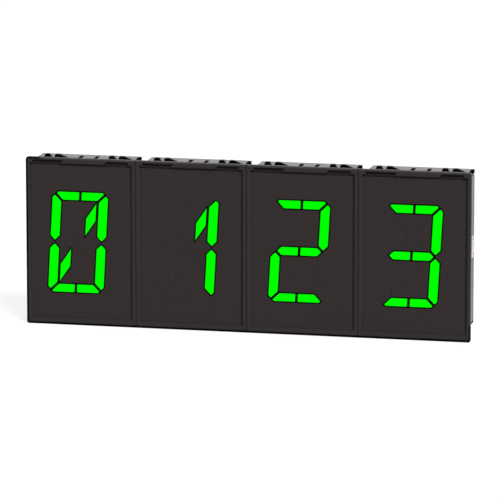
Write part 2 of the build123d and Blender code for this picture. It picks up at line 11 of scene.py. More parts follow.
import bmesh
import bpy
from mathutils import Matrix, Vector


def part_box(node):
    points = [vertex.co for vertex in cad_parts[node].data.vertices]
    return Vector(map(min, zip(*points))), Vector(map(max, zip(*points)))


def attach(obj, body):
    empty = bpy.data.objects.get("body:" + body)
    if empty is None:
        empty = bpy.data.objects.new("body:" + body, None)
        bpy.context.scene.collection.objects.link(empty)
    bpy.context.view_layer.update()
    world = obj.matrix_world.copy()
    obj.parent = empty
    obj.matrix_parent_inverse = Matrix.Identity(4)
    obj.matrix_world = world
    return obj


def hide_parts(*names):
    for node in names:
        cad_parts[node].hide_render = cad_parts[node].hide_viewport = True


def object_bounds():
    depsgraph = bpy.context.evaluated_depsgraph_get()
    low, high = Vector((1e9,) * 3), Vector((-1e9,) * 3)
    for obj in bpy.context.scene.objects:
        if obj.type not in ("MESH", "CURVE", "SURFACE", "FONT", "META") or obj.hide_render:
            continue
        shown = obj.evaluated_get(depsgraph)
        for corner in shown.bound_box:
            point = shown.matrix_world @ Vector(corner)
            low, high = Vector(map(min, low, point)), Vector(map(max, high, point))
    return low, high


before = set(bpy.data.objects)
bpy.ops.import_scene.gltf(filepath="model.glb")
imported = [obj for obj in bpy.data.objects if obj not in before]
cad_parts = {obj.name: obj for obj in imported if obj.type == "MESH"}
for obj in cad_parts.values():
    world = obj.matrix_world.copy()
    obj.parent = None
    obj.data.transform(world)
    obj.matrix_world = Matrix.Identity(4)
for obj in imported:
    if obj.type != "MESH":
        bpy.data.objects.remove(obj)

CAD_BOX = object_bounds()
MM = 0.001
QUARTER_TURN = math.radians(90)
MODULES = sorted(int(name[-1]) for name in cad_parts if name.startswith("front_frame"))
print("modules", MODULES, "nodes", len(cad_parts))

# %% [markdown]
# The camera
#
# The photograph is a long-lens product picture, taken a little from the right and from
# above. A long lens far away keeps the four modules almost the same width. The camera
# looks at a point near the middle of the display, so that no lens shift is needed.
# %% Camera
PHOTO_WIDTH = 500
FOCAL_PIXELS = 4618.6
SENSOR_WIDTH = 36.0
VIEW_AZIMUTH = math.radians(12.4)
VIEW_ELEVATION = math.radians(10.8)
VIEW_DISTANCE = 2.6
VIEW_TARGET = Vector((1.52, 0.0, -0.97)) * MM
NEAR_CLIP = 0.1
FAR_CLIP = 50.0


def direction(azimuth, elevation):
    """Unit vector from the object towards a viewer, for angles in radians."""
    level = math.cos(elevation)
    return Vector((math.sin(azimuth) * level, -math.cos(azimuth) * level, math.sin(elevation)))


def make_camera():
    """Camera at the photograph's angle and distance."""
    back = direction(VIEW_AZIMUTH, VIEW_ELEVATION)
    data = bpy.data.cameras.new("photo_camera")
    data.sensor_width = SENSOR_WIDTH
    data.lens = FOCAL_PIXELS / PHOTO_WIDTH * SENSOR_WIDTH
    data.clip_start = NEAR_CLIP
    data.clip_end = FAR_CLIP
    camera = bpy.data.objects.new("photo_camera", data)
    camera.location = VIEW_TARGET + VIEW_DISTANCE * back
    camera.rotation_mode = "QUATERNION"
    camera.rotation_quaternion = (-back).to_track_quat("-Z", "Y")
    bpy.context.scene.collection.objects.link(camera)
    bpy.context.scene.camera = camera
    return camera


camera = make_camera()
print("lens", round(camera.data.lens, 1), "mm")

# %% [markdown]
# Light and background
#
# The picture has a white background and very soft light. The world is white for camera,
# glossy and transmission rays, so the black plastic mirrors a white studio at its edges.
# Diffuse rays get a quieter level from it. The main light comes from the upper right,
# because the photograph shows dark lips at the top and right of each plate and pale ones
# at the left and bottom. It is a wide soft sun, so that all four modules and the floor
# get the same light. Two weaker lamps open the left side and the back.
# %% World, lamps and floor
WORLD_LEVEL = 0.3
MAIN_AZIMUTH = 38
MAIN_ELEVATION = 50
MAIN_STRENGTH = 5.0
MAIN_SPREAD = math.radians(18)
MAIN_DISTANCE = 1.0
LAMPS = {
    "fill_lamp": {"azimuth": -60, "elevation": 20, "distance": 1.5, "size": 1.1, "power": 2.0},
    "rear_lamp": {"azimuth": 160, "elevation": 42, "distance": 1.4, "size": 0.8, "power": 14.0},
}
FLOOR_SIZE = 6.0
FLOOR_COLOUR = (0.14, 0.14, 0.14, 1.0)
FLOOR_ROUGHNESS = 0.9
FLOOR_GLOW = 0.8
WHITE = (1.0, 1.0, 1.0, 1.0)


def link(tree, source, target):
    """Join two sockets of a node tree."""
    tree.links.new(source, target)


def maths(tree, operation, *values):
    """Result of a maths node whose inputs are sockets or plain numbers."""
    node = tree.nodes.new("ShaderNodeMath")
    node.operation = operation
    for target, value in zip(node.inputs, values):
        if isinstance(value, bpy.types.NodeSocket):
            link(tree, value, target)
        else:
            target.default_value = value
    return node.outputs[0]


def new_material(name):
    """Empty material with its tree and its Principled shader."""
    material = bpy.data.materials.new(name)
    material.use_nodes = True
    return material, material.node_tree, material.node_tree.nodes["Principled BSDF"]


def seen_ray(tree):
    """Value that is 1 for camera, glossy and transmission rays."""
    path = tree.nodes.new("ShaderNodeLightPath").outputs
    camera_or_gloss = maths(tree, "MAXIMUM", path["Is Camera Ray"], path["Is Glossy Ray"])
    return maths(tree, "MAXIMUM", camera_or_gloss, path["Is Transmission Ray"])


def make_world():
    """White where it is seen or mirrored, and quieter where it only lights."""
    world = bpy.data.worlds.new("white_studio")
    world.use_nodes = True
    tree = world.node_tree
    background = tree.nodes["Background"]
    background.inputs["Color"].default_value = WHITE
    level = tree.nodes.new("ShaderNodeMapRange")
    level.inputs["To Min"].default_value = WORLD_LEVEL
    level.inputs["To Max"].default_value = 1.0
    link(tree, seen_ray(tree), level.inputs["Value"])
    link(tree, level.outputs["Result"], background.inputs["Strength"])
    bpy.context.scene.world = world


def place_lamp(data, azimuth, elevation, distance):
    """Lamp in the given direction from the display, pointed at it and never mirrored."""
    lamp = bpy.data.objects.new(data.name, data)
    back = direction(math.radians(azimuth), math.radians(elevation))
    lamp.location = back * distance
    lamp.rotation_mode = "QUATERNION"
    lamp.rotation_quaternion = (-back).to_track_quat("-Z", "Y")
    lamp.visible_glossy = False
    bpy.context.scene.collection.objects.link(lamp)


def make_main_light():
    """Wide soft sun from the upper right."""
    data = bpy.data.lights.new("main_light", "SUN")
    data.energy = MAIN_STRENGTH
    data.angle = MAIN_SPREAD
    place_lamp(data, MAIN_AZIMUTH, MAIN_ELEVATION, MAIN_DISTANCE)


def make_lamp(name, azimuth, elevation, distance, size, power):
    """Soft square lamp."""
    data = bpy.data.lights.new(name, "AREA")
    data.shape = "SQUARE"
    data.size = size
    data.energy = power
    place_lamp(data, azimuth, elevation, distance)


def make_floor():
    """Pale floor under the frames that stays white and keeps a soft shadow."""
    mesh = bpy.data.meshes.new("floor")
    half = FLOOR_SIZE / 2
    height = CAD_BOX[0].z
    corners = [(-half, -half), (half, -half), (half, half), (-half, half)]
    mesh.from_pydata([(x, y, height) for x, y in corners], [], [(0, 1, 2, 3)])
    floor = bpy.data.objects.new("floor", mesh)
    bpy.context.scene.collection.objects.link(floor)
    material, tree, shader = new_material("pale_floor")
    shader.inputs["Base Color"].default_value = FLOOR_COLOUR
    shader.inputs["Roughness"].default_value = FLOOR_ROUGHNESS
    shader.inputs["Specular IOR Level"].default_value = 0.0
    shader.inputs["Emission Color"].default_value = WHITE
    glow = maths(tree, "MULTIPLY", seen_ray(tree), FLOOR_GLOW)
    link(tree, glow, shader.inputs["Emission Strength"])
    mesh.materials.append(material)


make_world()
make_main_light()
for lamp_name, lamp in LAMPS.items():
    make_lamp(lamp_name, **lamp)
make_floor()
bpy.context.scene.view_settings.view_transform = "Standard"
print("lamps", sorted(LAMPS))

# %% [markdown]
# A shared effect: moulded grain
#
# Every plastic piece left a mould with a spark-eroded skin, so it has a fine grain that
# softens its gloss, and over a few millimetres its colour and gloss drift a little. One
# node group makes both from Object coordinates, and each plastic uses it with its own
# numbers. The shader itself stays in the material.
# %% Node group for moulded plastic
GRAIN_SCALE = 4000.0
GRAIN_DETAIL = 2.0
GRAIN_CONTRAST = 0.06
DRIFT_SCALE = 60.0
DRIFT_DETAIL = 3.0
GRAIN_INPUTS = {
    "Colour": ("NodeSocketColor", (0.05, 0.05, 0.05, 1.0)),
    "Colour drift": ("NodeSocketFloat", 0.1),
    "Roughness": ("NodeSocketFloat", 0.4),
    "Roughness drift": ("NodeSocketFloat", 0.1),
    "Grain per metre": ("NodeSocketFloat", GRAIN_SCALE),
    "Drift per metre": ("NodeSocketFloat", DRIFT_SCALE),
}
GRAIN_OUTPUTS = {
    "Colour": "NodeSocketColor",
    "Roughness": "NodeSocketFloat",
    "Height": "NodeSocketFloat",
}


def add_sockets(tree, inputs, outputs):
    """Inputs of a node group from name to kind and value, and outputs from name to kind."""
    for label, (kind, value) in inputs.items():
        made = tree.interface.new_socket(name=label, in_out="INPUT", socket_type=kind)
        if value is not None:
            made.default_value = value
    for label, kind in outputs.items():
        tree.interface.new_socket(name=label, in_out="OUTPUT", socket_type=kind)


def noise(tree, coordinates, scale_output, detail):
    """Noise texture whose scale comes from another socket."""
    texture = tree.nodes.new("ShaderNodeTexNoise")
    texture.inputs["Detail"].default_value = detail
    link(tree, coordinates, texture.inputs["Vector"])
    link(tree, scale_output, texture.inputs["Scale"])
    return texture.outputs["Fac"]


def spread(tree, value, centre, amount):
    """Value from 0 to 1 turned into centre plus or minus half the amount."""
    shifted = maths(tree, "SUBTRACT", value, 0.5)
    return maths(tree, "MULTIPLY_ADD", shifted, amount, centre)


def make_grain_group():
    """Colour, roughness and height of a spark-eroded plastic skin."""
    tree = bpy.data.node_groups.new("moulded_grain", "ShaderNodeTree")
    add_sockets(tree, GRAIN_INPUTS, GRAIN_OUTPUTS)
    inputs = tree.nodes.new("NodeGroupInput").outputs
    outputs = tree.nodes.new("NodeGroupOutput").inputs
    place = tree.nodes.new("ShaderNodeTexCoord").outputs["Object"]
    drift = noise(tree, place, inputs["Drift per metre"], DRIFT_DETAIL)
    grain = noise(tree, place, inputs["Grain per metre"], GRAIN_DETAIL)
    roughness = spread(tree, drift, inputs["Roughness"], inputs["Roughness drift"])
    link(tree, roughness, outputs["Roughness"])
    brightness = spread(tree, drift, 1.0, inputs["Colour drift"])
    speckle = tree.nodes.new("ShaderNodeMapRange")
    speckle.inputs["To Min"].default_value = 1.0 - GRAIN_CONTRAST
    speckle.inputs["To Max"].default_value = 1.0 + GRAIN_CONTRAST
    link(tree, grain, speckle.inputs["Value"])
    shade = tree.nodes.new("ShaderNodeVectorMath")
    shade.operation = "SCALE"
    link(tree, inputs["Colour"], shade.inputs[0])
    factor = maths(tree, "MULTIPLY", brightness, speckle.outputs["Result"])
    link(tree, factor, shade.inputs["Scale"])
    link(tree, shade.outputs["Vector"], outputs["Colour"])
    link(tree, grain, outputs["Height"])
    return tree


GRAIN_GROUP = make_grain_group()
print("group", GRAIN_GROUP.name, "with", len(GRAIN_GROUP.nodes), "nodes")

# %% [markdown]
# A helper for the plastics
#
# Each plastic is one Principled shader fed by the grain group. What is the same all over
# the surface, such as the specular level, is set on the shader's own socket, because an
# exported model keeps only numbers that are set there.
# %% Plastic materials
ROUGHNESS_DRIFT = 0.3
BUMP_STRENGTH = 0.05
GRAIN_DEPTH = 0.02 * MM


def plastic(name, colour, roughness, specular=0.5, drift=0.12, grain=GRAIN_SCALE):
    """Moulded plastic with grain, for a colour written as linear red, green and blue."""
    material, tree, shader = new_material(name)
    skin = tree.nodes.new("ShaderNodeGroup")
    skin.node_tree = GRAIN_GROUP
    skin.inputs["Colour"].default_value = (*colour, 1.0)
    skin.inputs["Colour drift"].default_value = drift
    skin.inputs["Roughness"].default_value = roughness
    skin.inputs["Roughness drift"].default_value = ROUGHNESS_DRIFT * roughness
    skin.inputs["Grain per metre"].default_value = grain
    link(tree, skin.outputs["Colour"], shader.inputs["Base Color"])
    link(tree, skin.outputs["Roughness"], shader.inputs["Roughness"])
    shader.inputs["Specular IOR Level"].default_value = specular
    relief = tree.nodes.new("ShaderNodeBump")
    relief.inputs["Strength"].default_value = BUMP_STRENGTH
    relief.inputs["Distance"].default_value = GRAIN_DEPTH
    link(tree, skin.outputs["Height"], relief.inputs["Height"])
    link(tree, relief.outputs["Normal"], shader.inputs["Normal"])
    return material


FRAME_BLACK = plastic("frame_black", (0.0245, 0.0200, 0.0218), 0.45, specular=0.12)
# Painted shade: near black for frame edges, catch fronts, slots, joints and wall feet.
EDGE_SHADE_BLACK = plastic("edge_painted_shade", (0.001, 0.001, 0.001), 0.6, specular=0.02)
# Painted light: lighter than the frame, for the bevel beside a seam that looks away from the
# light.
SEAM_PAINTED_LIGHT = plastic("seam_painted_light", (0.060, 0.050, 0.054), 0.45, specular=0.12)
# Painted shade: darker finish for the pocket floors in the top rails.
POCKET_SHADE_BLACK = plastic("pocket_painted_shade", (0.018, 0.014, 0.015), 0.6, specular=0.05)
# Painted shade: darker finish for the lower lip, which faces up into the light.
LIP_SHADE_BLACK = plastic("lip_painted_shade", (0.0155, 0.0130, 0.0140), 0.45, specular=0.12)
PLATE_FINISH = plastic("plate_finish", (0.0255, 0.0200, 0.0200), 0.5, specular=0.1, drift=0.06)
# Painted shade: near black for the unlit rim of lit bars and the outline round them.
BAR_RIM_SHADE = plastic("bar_rim_painted_shade", (0.001, 0.001, 0.001), 0.5, specular=0.02)
DARK_BAR = plastic("dark_bar_tint", (0.0255, 0.0200, 0.0200), 0.45, specular=0.1, drift=0.06)
CASE_BLACK = plastic("case_black", (0.012, 0.011, 0.012), 0.26, specular=0.5)
COVER_BLACK = plastic("cover_black", (0.010, 0.009, 0.010), 0.32, specular=0.3)
CONNECTOR_WHITE = plastic("connector_white", (0.62, 0.61, 0.58), 0.4, drift=0.08)
BRIDGE_WHITE = plastic("bridge_white", (0.58, 0.57, 0.54), 0.42, drift=0.08)
TERMINAL_BLACK = plastic("terminal_black", (0.016, 0.016, 0.017), 0.38)
REFLECTOR_WHITE = plastic("reflector_white", (0.75, 0.75, 0.73), 0.5, drift=0.05)
HEADER_BLACK = plastic("header_black", (0.012, 0.012, 0.012), 0.45)
CHIP_BLACK = plastic("chip_black", (0.010, 0.010, 0.011), 0.5, grain=9000.0)
print("plastics ready")

# %% [markdown]
# Boards, lamps and metal
#
# The boards and lamps sit out of sight, apart from what an air slot shows. A board is
# green lacquer over copper lines, the lamps are milky lenses, and the screws and contacts
# are plated metal with a fine brushed grain.
# %% Other materials
BOARD_LINES = {
    "Scale": 160.0,
    "Mortar Size": 0.03,
    "Color1": (0.006, 0.07, 0.025, 1.0),
    "Color2": (0.008, 0.08, 0.03, 1.0),
    "Mortar": (0.02, 0.16, 0.06, 1.0),
}
BOARD_ROUGHNESS = 0.25
BRUSH_SCALE = 5000.0
BRUSH_STRETCH = (0.05, 1.0, 1.0)
BRUSH_CONTRAST = 0.08
LENS_CLOUDS = 900.0
LENS_COLOURS = ((0.55, 0.58, 0.42, 1.0), (0.75, 0.76, 0.6, 1.0))
LENS_ROUGHNESS = 0.2
GLOW_CLOUDS = 120.0
GLOW_COLOURS = ((0.0, 0.96, 0.0, 1.0), (0.0, 1.0, 0.0, 1.0))
GLOW_STRENGTH = 1.0
GLOW_BASE = (0.0, 0.02, 0.0, 1.0)
GLOW_ROUGHNESS = 0.6


def mapped_place(tree, label, value):
    """Object coordinates sent through a mapping node with one of its inputs set."""
    mapping = tree.nodes.new("ShaderNodeMapping")
    mapping.inputs[label].default_value = value
    place = tree.nodes.new("ShaderNodeTexCoord").outputs["Object"]
    link(tree, place, mapping.inputs["Vector"])
    return mapping.outputs["Vector"]


def board_material():
    """Green lacquer with the copper lines showing through as a lighter pattern."""
    material, tree, shader = new_material("board_lacquer")
    lines = tree.nodes.new("ShaderNodeTexBrick")
    for label, value in BOARD_LINES.items():
        lines.inputs[label].default_value = value
    turned = mapped_place(tree, "Rotation", (QUARTER_TURN, 0.0, 0.0))
    link(tree, turned, lines.inputs["Vector"])
    link(tree, lines.outputs["Color"], shader.inputs["Base Color"])
    shader.inputs["Roughness"].default_value = BOARD_ROUGHNESS
    return material


def metal(name, colour, roughness):
    """Plated metal with fine brushed lines along X."""
    material, tree, shader = new_material(name)
    brushed = tree.nodes.new("ShaderNodeTexNoise")
    brushed.inputs["Scale"].default_value = BRUSH_SCALE
    stretched = mapped_place(tree, "Scale", BRUSH_STRETCH)
    link(tree, stretched, brushed.inputs["Vector"])
    ramp = tree.nodes.new("ShaderNodeMapRange")
    ramp.inputs["To Min"].default_value = roughness - BRUSH_CONTRAST
    ramp.inputs["To Max"].default_value = roughness + BRUSH_CONTRAST
    link(tree, brushed.outputs["Fac"], ramp.inputs["Value"])
    link(tree, ramp.outputs["Result"], shader.inputs["Roughness"])
    shader.inputs["Base Color"].default_value = (*colour, 1.0)
    shader.inputs["Metallic"].default_value = 1.0
    return material


def clouds(tree, scale, shades):
    """Colour that drifts between two shades."""
    cloud = tree.nodes.new("ShaderNodeTexNoise")
    cloud.inputs["Scale"].default_value = scale
    place = tree.nodes.new("ShaderNodeTexCoord").outputs["Object"]
    link(tree, place, cloud.inputs["Vector"])
    colours = tree.nodes.new("ShaderNodeValToRGB")
    for element, shade in zip(colours.color_ramp.elements, shades):
        element.color = shade
    link(tree, cloud.outputs["Fac"], colours.inputs["Fac"])
    return colours.outputs["Color"]


def lamp_material():
    """Milky lens with a cloudy tint."""
    material, tree, shader = new_material("lamp_lens")
    tint = clouds(tree, LENS_CLOUDS, LENS_COLOURS)
    link(tree, tint, shader.inputs["Base Color"])
    shader.inputs["Roughness"].default_value = LENS_ROUGHNESS
    return material


def glow_material():
    """Green light with a slightly deeper tone that drifts along each bar."""
    material, tree, shader = new_material("green_light")
    light = clouds(tree, GLOW_CLOUDS, GLOW_COLOURS)
    link(tree, light, shader.inputs["Emission Color"])
    shader.inputs["Emission Strength"].default_value = GLOW_STRENGTH
    shader.inputs["Base Color"].default_value = GLOW_BASE
    shader.inputs["Roughness"].default_value = GLOW_ROUGHNESS
    shader.inputs["Specular IOR Level"].default_value = 0.0
    return material


BOARD_GREEN = board_material()
SCREW_STEEL = metal("screw_nickel", (0.62, 0.60, 0.56), 0.32)
CONTACT_GOLD = metal("contact_gold", (0.83, 0.60, 0.26), 0.28)
LAMP_LENS = lamp_material()
GREEN_LIGHT = glow_material()
print("other materials ready")

# %% [markdown]
# Finish the solids that are right as they are
#
# Most solids already have their true shape, so they only take a material. The table
# below gives each family of nodes its finish.
# %% Dress the CAD nodes
FINISHES = {
    "front_frame": FRAME_BLACK,
    "face_plate": PLATE_FINISH,
    "lit_bars": GREEN_LIGHT,
    "unlit_bars": DARK_BAR,
    "reflector": REFLECTOR_WHITE,
    "led_board": BOARD_GREEN,
    "control_board": BOARD_GREEN,
    "led_chips": LAMP_LENS,
    "board_header": HEADER_BLACK,
    "control_parts": CHIP_BLACK,
    "case_body": CASE_BLACK,
    "rear_cover": COVER_BLACK,
    "link_sockets": CONNECTOR_WHITE,
    "link_bridge": BRIDGE_WHITE,
    "terminal_block": TERMINAL_BLACK,
    "terminal_screws": SCREW_STEEL,
}


def family(node):
    """Finish family of a node, which is its name without a number."""
    return node.rstrip("0123456789").rstrip("_")


def dress(piece, material):
    """Give a piece one material in its only slot."""
    piece.data.materials.clear()
    piece.data.materials.append(material)


for node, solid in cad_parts.items():
    dress(solid, FINISHES[family(node)])
print("dressed", len(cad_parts), "nodes")

# %% [markdown]
# Working copies
#
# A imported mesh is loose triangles. To change one, a copy is made, its doubled corners are
# merged, and flat neighbours are joined into larger faces. The copy then stands in for
# the node, which stays hidden. A fine bevel rounds its moulded edges, so that they catch
# the light as real ones do. Faces are picked by how far they look along an axis, which
# is the cosine of their angle to it: 1 is straight along it and 0 is across it.
# %% Copy helpers
WELD = 0.0005 * MM
FLAT_ANGLE = math.radians(0.5)
SHARP_ANGLE = math.radians(30)
EDGE_ROUND = 0.12 * MM
EDGE_SEGMENTS = 2
STRAIGHT = 0.99
NEARLY = 0.95
MAINLY = 0.9
HALFWAY = 0.5
SLIGHTLY = 0.3
AXIS_X = Vector((1.0, 0.0, 0.0))
AXIS_Y = Vector((0.0, 1.0, 0.0))
AXIS_Z = Vector((0.0, 0.0, 1.0))


def welded_mesh(node):
    """bmesh of a node with its doubled corners merged."""
    work = bmesh.new()
    work.from_mesh(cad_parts[node].data)
    bmesh.ops.remove_doubles(work, verts=work.verts, dist=WELD)
    return work


def join_flat(work):
    """Join the flat neighbours of a bmesh into larger faces."""
    bmesh.ops.dissolve_limit(work, angle_limit=FLAT_ANGLE, verts=work.verts, edges=work.edges)
    work.normal_update()


def merged_mesh(node):
    """bmesh of a node with its corners merged and its flat faces joined."""
    work = welded_mesh(node)
    join_flat(work)
    return work


def cut_across(work, point, normal):
    """Cut the faces of a bmesh along a plane and keep both sides."""
    everything = list(work.verts) + list(work.edges) + list(work.faces)
    bmesh.ops.bisect_plane(work, geom=everything, dist=WELD, plane_co=point, plane_no=normal)
    work.normal_update()


def paint(work, choose):
    """Give each face of a bmesh the material number that a function chooses."""
    for face in work.faces:
        face.material_index = choose(face.calc_center_median(), face.normal)


def join_display(name, mesh, nodes):
    """Object from a mesh, riding on the display, in place of the named nodes."""
    piece = bpy.data.objects.new(name, mesh)
    bpy.context.scene.collection.objects.link(piece)
    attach(piece, "root")
    if nodes:
        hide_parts(*nodes)
    return piece


def add_piece(name, work, materials, nodes=()):
    """Piece of the display from a bmesh, which is used up."""
    mesh = bpy.data.meshes.new(name)
    work.to_mesh(mesh)
    work.free()
    for material in materials:
        mesh.materials.append(material)
    return join_display(name, mesh, nodes)


def round_edges(piece):
    """Round the moulded edges of a piece."""
    bevel = piece.modifiers.new("moulded_edges", "BEVEL")
    bevel.width = EDGE_ROUND
    bevel.segments = EDGE_SEGMENTS
    bevel.limit_method = "ANGLE"
    bevel.angle_limit = SHARP_ANGLE


# %% [markdown]
# The front frames
#
# In the photograph the outer edge of the row is a crisp black line at the left and along
# the bottom, and it turns the upper left corner as far as the case. At the right it is
# black only below the part of the case that shows there. That line is painted shade on
# edges that look away from the light. The seams between the modules hardly show, and the
# black line runs past them without a gap, so the corners beside a seam are made square.
# The bevel on the right of each seam looks left, away from the light, and is painted
# lighter as painted light. The two pockets in each top rail are painted darker than the
# rail as painted shade, and the lower lip is painted darker as painted shade, so that it
# is as quiet as the plate. Each face of a frame is sorted by where it lies and which way
# it looks, and the front is first cut along the inner sides of the black line.
# %% Frames with painted shade on edges, pockets and lip, and painted light by seams
BEVEL_BAND = 1.0 * MM
POCKET_BAND = 4.0 * MM
LIP_BAND = 5.0 * MM
SIDE_LINE = 1.3 * MM
BOTTOM_LINE = 1.4 * MM
CORNER_LINE = 8.3 * MM
RIGHT_LINE_RISE = 4.2 * MM
CORNER_ROUND = 1.2 * MM
FRONT_INSET = 0.7 * MM
RAIL_FINISH, EDGE_SHADE_FINISH, POCKET_SHADE_FINISH, SEAM_LIGHT_FINISH, LIP_SHADE_FINISH = range(5)


def frame_chooser(number):
    """Function that sorts one frame's faces into rail, painted shade and painted light."""
    low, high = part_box(f"front_frame_{number}")
    case_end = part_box(f"rear_cover_{number}")[0].z + RIGHT_LINE_RISE
    first = number == MODULES[0]
    last = number == MODULES[-1]

    def choose_front(centre):
        """Finish of a face that looks straight forward."""
        # Painted shade: the black line along the bottom and the left front edge.
        if centre.z < low.z + BOTTOM_LINE or first and centre.x < low.x + SIDE_LINE:
            return EDGE_SHADE_FINISH
        # Painted shade on the sunk pocket floors in the top rail.
        sunk = centre.y > low.y + BEVEL_BAND / 2
        return POCKET_SHADE_FINISH if sunk and centre.z > high.z - POCKET_BAND else RAIL_FINISH

    def choose(centre, normal):
        """Finish of any face of the frame."""
        if normal.y < -STRAIGHT:
            return choose_front(centre)
        # Painted shade: the black line over the upper left corner and on the outer bevels.
        if first and centre.x < low.x + CORNER_LINE and centre.z > high.z - BEVEL_BAND:
            return EDGE_SHADE_FINISH
        if not -NEARLY < normal.y < -SLIGHTLY:
            return RAIL_FINISH
        if centre.z < low.z + BEVEL_BAND:
            return EDGE_SHADE_FINISH
        # Painted shade on the lower lip.
        if normal.z > SLIGHTLY and centre.z < low.z + LIP_BAND:
            return LIP_SHADE_FINISH
        # Painted light on the left bevel beside a seam; painted shade on the outer left edge.
        if centre.x < low.x + BEVEL_BAND:
            return EDGE_SHADE_FINISH if first else SEAM_LIGHT_FINISH
        under_case = last and centre.x > high.x - BEVEL_BAND and centre.z < case_end
        return EDGE_SHADE_FINISH if under_case else RAIL_FINISH

    return choose


def square_corners(work, number):
    """Draw the rounded corners of a frame to their tips where it has a neighbour."""
    low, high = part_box(f"front_frame_{number}")
    seams = [(low.x, 1)] if number != MODULES[0] else []
    seams += [(high.x, -1)] if number != MODULES[-1] else []
    tips = [(x, z, in_x, in_z) for x, in_x in seams for z, in_z in ((low.z, 1), (high.z, -1))]
    for vertex in work.verts:
        inset = FRONT_INSET if vertex.co.y < low.y + WELD else 0.0
        for x, z, in_x, in_z in tips:
            if max(abs(vertex.co.x - x), abs(vertex.co.z - z)) < CORNER_ROUND + WELD:
                vertex.co.x = x + in_x * inset
                vertex.co.z = z + in_z * inset
    bmesh.ops.remove_doubles(work, verts=work.verts, dist=WELD)


def frame_piece(number):
    """Frame of one module, cut and given painted shade and painted light."""
    node = f"front_frame_{number}"
    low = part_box(node)[0]
    work = welded_mesh(node)
    square_corners(work, number)
    join_flat(work)
    cut_across(work, low + BOTTOM_LINE * AXIS_Z, AXIS_Z)
    if number == MODULES[0]:
        cut_across(work, low + SIDE_LINE * AXIS_X, AXIS_X)
        cut_across(work, low + CORNER_LINE * AXIS_X, AXIS_X)
    if number == MODULES[-1]:
        cover_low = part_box(f"rear_cover_{number}")[0]
        cut_across(work, cover_low + RIGHT_LINE_RISE * AXIS_Z, AXIS_Z)
    paint(work, frame_chooser(number))
    finishes = [FRAME_BLACK, EDGE_SHADE_BLACK, POCKET_SHADE_BLACK, SEAM_PAINTED_LIGHT, LIP_SHADE_BLACK]
    return add_piece(f"frame_{number}", work, finishes, [node])


for number in MODULES:
    piece = frame_piece(number)
    round_edges(piece)
    print(piece.name, len(piece.data.polygons), "faces")

# %% [markdown]
# The face plates
#
# The narrow gap round a plate shows as a dark line at its top and right only. At its left
# and bottom the plate almost closes the gap.
# %% Plates that lie closer to the left and bottom lips
PLATE_REACH = 0.18 * MM


def plate_piece(number):
    """Plate of one module, drawn towards the lips at its left and bottom."""
    node = f"face_plate_{number}"
    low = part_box(node)[0]
    work = merged_mesh(node)
    for vertex in work.verts:
        if abs(vertex.co.x - low.x) < WELD:
            vertex.co.x -= PLATE_REACH
        if abs(vertex.co.z - low.z) < WELD:
            vertex.co.z -= PLATE_REACH
    return add_piece(f"plate_{number}", work, [PLATE_FINISH], [node])


for number in MODULES:
    piece = plate_piece(number)
    print(piece.name, len(piece.data.polygons), "faces")

# %% [markdown]
# The cases and covers
#
# The case is a glossy black sleeve. Seen at a flat angle its top and side mirror the
# studio and look light grey. The fronts of the catches on top face the viewer and are
# painted near black as painted shade, and so are the two slots between them. The cut
# corners along the bottom, the lowest strip of each side wall, and the joints behind the
# flange and before the cover are painted shade as well. The copy stands a little taller at
# its rail, its catches are blunter and its slots longer than in the solids, which is how
# the enlarged photograph shows them.
# %% Cases with shaped rails and painted shade, and covers
GLOSS_FINISH, PAINTED_SHADE_FINISH = range(2)
RAIL_RISE = 1.95 * MM
RAIL_LIFT = 0.45 * MM
FRONT_JOINT = 0.9 * MM
REAR_JOINT = 0.6 * MM
COVER_FRONT = 21.0 * MM
SLOT_REACH = 8.0 * MM
SLOT_MIDDLE = 4.6 * MM
SLOT_BELOW_TOP = 0.2 * MM
SLOT_MORE = 2.0 * MM
SLOT_WIDEN = 0.3 * MM
CATCH_BLUNT = 1.05 * MM
LONG_CATCH_MORE = 1.0 * MM
PAIR_X = 18.8 * MM
PAIR_SIZE = 13.2 * MM
SHORT_CATCH = 4.7 * MM
LONG_CATCH_START = 5.9 * MM
WALL_LINE = 2.2 * MM


def is_foot(centre, normal, bottom):
    """Whether a face is a cut corner or the lowest strip of a side wall."""
    if abs(normal.x) > MAINLY:
        return centre.z < bottom + WALL_LINE
    return abs(normal.x) > HALFWAY and normal.z < -HALFWAY


def case_chooser(number):
    """Function that sorts the faces of one case into glossy walls and painted shade."""
    cover_low, cover_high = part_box(f"rear_cover_{number}")
    middle = (cover_low.x + cover_high.x) / 2
    slot_top = cover_high.z + RAIL_RISE - SLOT_BELOW_TOP

    def choose(centre, normal):
        """Finish of any face of the case."""
        # Painted shade: catch fronts, slots, joints and the foot of each wall are near black.
        if normal.y < -MAINLY and centre.z > cover_high.z:
            return PAINTED_SHADE_FINISH
        by_slots = abs(centre.x - middle) < SLOT_REACH and centre.y < cover_high.y - MM
        if by_slots and cover_high.z < centre.z < slot_top:
            return PAINTED_SHADE_FINISH
        by_cover = centre.y > COVER_FRONT - REAR_JOINT and centre.z < cover_high.z
        if is_foot(centre, normal, cover_low.z) or centre.y < FRONT_JOINT or by_cover:
            return PAINTED_SHADE_FINISH
        return GLOSS_FINISH

    return choose


def open_rail_top(work, rail_top):
    """Take the flat faces off the top of a rail and return the edges that were round them."""
    flat = [
        face for face in work.faces
        if face.normal.z > STRAIGHT and abs(face.calc_center_median().z - rail_top) < WELD
    ]
    inside = set(flat)
    outline = [
        edge for face in flat for edge in face.edges if not set(edge.link_faces) <= inside
    ]
    bmesh.ops.delete(work, geom=flat, context="FACES_ONLY")
    return outline


